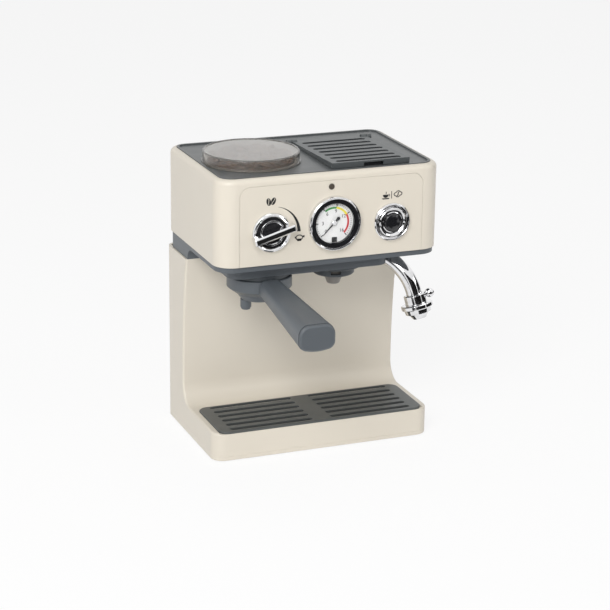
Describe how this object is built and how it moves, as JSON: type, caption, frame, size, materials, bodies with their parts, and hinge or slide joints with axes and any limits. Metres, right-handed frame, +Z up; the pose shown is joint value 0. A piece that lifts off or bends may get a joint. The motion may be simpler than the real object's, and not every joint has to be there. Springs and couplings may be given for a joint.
{
  "type": "toy coffee maker",
  "caption": "Play espresso machine with a bean hopper, ribbed tank lid, dial gauge, turning knob, push button, twist-in portafilter, swivelling steam wand and lift-out drip grate.",
  "frame": {"origin": "on the floor under the middle of the head", "axes": "+X to the right seen from the front, +Y to the back, +Z up"},
  "size_m": [0.214, 0.2458, 0.277],
  "materials": {
    "cream_plastic": "satin",
    "grey_plastic": "satin",
    "dark_plastic": "matte",
    "black_gloss": "polished",
    "pale_plastic": "satin",
    "chrome_plate": "polished",
    "steel": "brushed",
    "dial_face": "matte",
    "clear_plastic": "clear",
    "bean_plastic": "satin",
    "foot_rubber": "matte",
    "hose_rubber": "satin",
    "board": "satin",
    "cell_wrap": "satin"
  },
  "bodies": {
    "machine": {"head_cover": "cream_plastic", "front_panel": "cream_plastic", "body_shell": "cream_plastic", "back_panel": "cream_plastic", "base_plate": "cream_plastic", "top_tray": "grey_plastic", "chassis": "grey_plastic", "grinder_collar": "grey_plastic", "brew_head": "grey_plastic", "wand_socket": "grey_plastic", "gauge_cup": "dark_plastic", "battery_box": "dark_plastic", "power_switch_body": "dark_plastic", "pump_bracket": "dark_plastic", "pump_body": "dark_plastic", "speaker": "dark_plastic", "hopper_bowl": "dark_plastic", "gauge_ring": "black_gloss", "button_switch": "black_gloss", "brew_nozzle": "pale_plastic", "knob_bezel": "chrome_plate", "gauge_bezel": "chrome_plate", "button_bezel": "chrome_plate", "lid_hinge_pins": "steel", "button_spring": "steel", "battery_contacts": "steel", "housing_screws": "steel", "pump_motor": "steel", "gauge_dial": "dial_face", "hopper_cover": "clear_plastic", "gauge_lens": "clear_plastic", "indicator_lens": "clear_plastic", "water_tank": "clear_plastic", "indicator_led": "clear_plastic", "bean_bed": "bean_plastic", "feet": "foot_rubber", "suction_hose": "hose_rubber", "delivery_hose": "hose_rubber", "circuit_board": "board", "batteries": "cell_wrap"},
    "portafilter": {"portafilter_bowl": "grey_plastic", "filter_basket": "steel", "portafilter_spouts": "grey_plastic", "portafilter_handle": "grey_plastic", "handle_end_cap": "grey_plastic"},
    "wand": {"steam_wand": "chrome_plate", "wand_collar": "chrome_plate", "wand_nozzle": "chrome_plate", "wand_side_knob": "chrome_plate"},
    "lid": {"tank_lid": "grey_plastic"},
    "pan": {"drip_pan": "dark_plastic"},
    "grate": {"drip_grate": "grey_plastic"},
    "knob": {"dose_knob": "black_gloss", "knob_shaft": "dark_plastic"},
    "needle": {"gauge_needle": "black_gloss", "needle_cap": "chrome_plate"},
    "button": {"push_button": "black_gloss"},
    "switch_slider": {"power_switch": "black_gloss"},
    "door": {"battery_door": "cream_plastic", "battery_door_screw": "steel"}
  },
  "joints": [
    {"name": "portafilter_twist", "type": "hinge", "parent": "machine", "child": "portafilter", "pos_m": [-0.053, -0.031, 0.161], "axis": [0, 0, 1], "range_deg": [-45, 0]},
    {"name": "wand_swivel", "type": "hinge", "parent": "machine", "child": "wand", "pos_m": [0.067, -0.0314, 0.1736], "axis": [0, 0, 1], "range_deg": [-15, 60]},
    {"name": "lid_hinge", "type": "hinge", "parent": "machine", "child": "lid", "pos_m": [0.042, 0.0396, 0.2679], "axis": [-1, 0, 0], "range_deg": [0, 100]},
    {"name": "pan_lift", "type": "slide", "parent": "machine", "child": "pan", "axis": [0, 0, 1], "range_m": [0, 0.03]},
    {"name": "grate_lift", "type": "slide", "parent": "pan", "child": "grate", "axis": [0, 0, 1], "range_m": [0, 0.025]},
    {"name": "knob_turn", "type": "hinge", "parent": "machine", "child": "knob", "pos_m": [-0.0578, -0.074, 0.2175], "axis": [0, -1, 0], "range_deg": [-30, 75]},
    {"name": "needle_turn", "type": "hinge", "parent": "machine", "child": "needle", "pos_m": [0.0014, -0.074, 0.221], "axis": [0, 1, 0], "range_deg": [0, 240]},
    {"name": "button_press", "type": "slide", "parent": "machine", "child": "button", "axis": [0, 1, 0], "range_m": [0, 0.0025], "stiffness_N_per_m": 300, "springref_m": -0.0015, "deforming": ["button_spring"]},
    {"name": "switch_slide", "type": "slide", "parent": "machine", "child": "switch_slider", "axis": [1, 0, 0], "range_m": [0, 0.004]},
    {"name": "door_lift", "type": "slide", "parent": "machine", "child": "door", "axis": [0, 1, 0], "range_m": [0, 0.02]}
  ]
}
